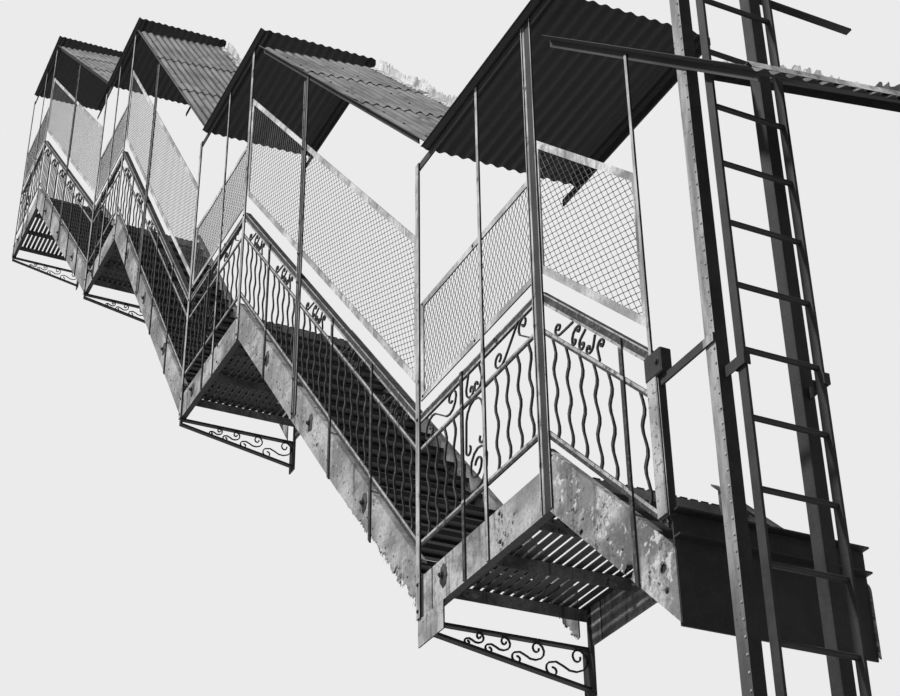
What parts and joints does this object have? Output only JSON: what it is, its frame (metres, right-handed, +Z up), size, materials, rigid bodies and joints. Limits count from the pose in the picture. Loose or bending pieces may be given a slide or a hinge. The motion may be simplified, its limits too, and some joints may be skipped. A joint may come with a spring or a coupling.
{
  "type": "wall-hung fire escape stair",
  "caption": "Roofed fire escape of straight flights along a wall, with scroll railings, mesh guards, scroll brackets and a drop ladder.",
  "frame": {"origin": "on the wall's face, on the back of the lowest scroll bracket's wall plate", "axes": "+X along the wall, down the stair; +Y into the wall; +Z up"},
  "size_m": [17.5731, 1.06, 15.7852],
  "materials": {
    "weathered_paint": "weathered light grey paint",
    "dark_iron": "worn dark paint on iron",
    "roof_sheet": "dull galvanised sheet"
  },
  "bodies": {
    "stair": {"landing_1_frame": "weathered_paint", "landing_1_deck": "dark_iron", "landing_1_railing": "dark_iron", "landing_1_mesh_frame": "weathered_paint", "landing_1_bracket": "dark_iron", "landing_2_frame": "weathered_paint", "landing_2_deck": "dark_iron", "landing_2_railing": "dark_iron", "landing_2_mesh_frame": "weathered_paint", "landing_2_bracket": "dark_iron", "landing_3_frame": "weathered_paint", "landing_3_deck": "dark_iron", "landing_3_railing": "dark_iron", "landing_3_mesh_frame": "weathered_paint", "landing_3_bracket": "dark_iron", "landing_4_frame": "weathered_paint", "landing_4_deck": "dark_iron", "landing_4_railing": "dark_iron", "landing_4_mesh_frame": "weathered_paint", "landing_4_bracket": "dark_iron", "flight_0_stringers": "weathered_paint", "flight_0_treads": "dark_iron", "flight_0_railing": "dark_iron", "flight_0_mesh_frame": "weathered_paint", "flight_1_stringers": "weathered_paint", "flight_1_treads": "dark_iron", "flight_1_railing": "dark_iron", "flight_1_mesh_frame": "weathered_paint", "flight_2_stringers": "weathered_paint", "flight_2_treads": "dark_iron", "flight_2_railing": "dark_iron", "flight_2_mesh_frame": "weathered_paint", "flight_3_stringers": "weathered_paint", "flight_3_treads": "dark_iron", "flight_3_railing": "dark_iron", "flight_3_mesh_frame": "weathered_paint", "flight_0_end_plate": "dark_iron", "roof_0": "roof_sheet", "roof_1": "roof_sheet", "roof_2": "roof_sheet", "roof_3": "roof_sheet", "roof_4": "roof_sheet", "posts": "dark_iron", "ladder_guides": "dark_iron", "ladder_keepers": "dark_iron"},
    "ladder": {"drop_ladder": "dark_iron"}
  },
  "joints": [
    {"name": "ladder_drop", "type": "slide", "parent": "stair", "child": "ladder", "axis": [0, 0, 1], "range_m": [-3, 0]}
  ]
}
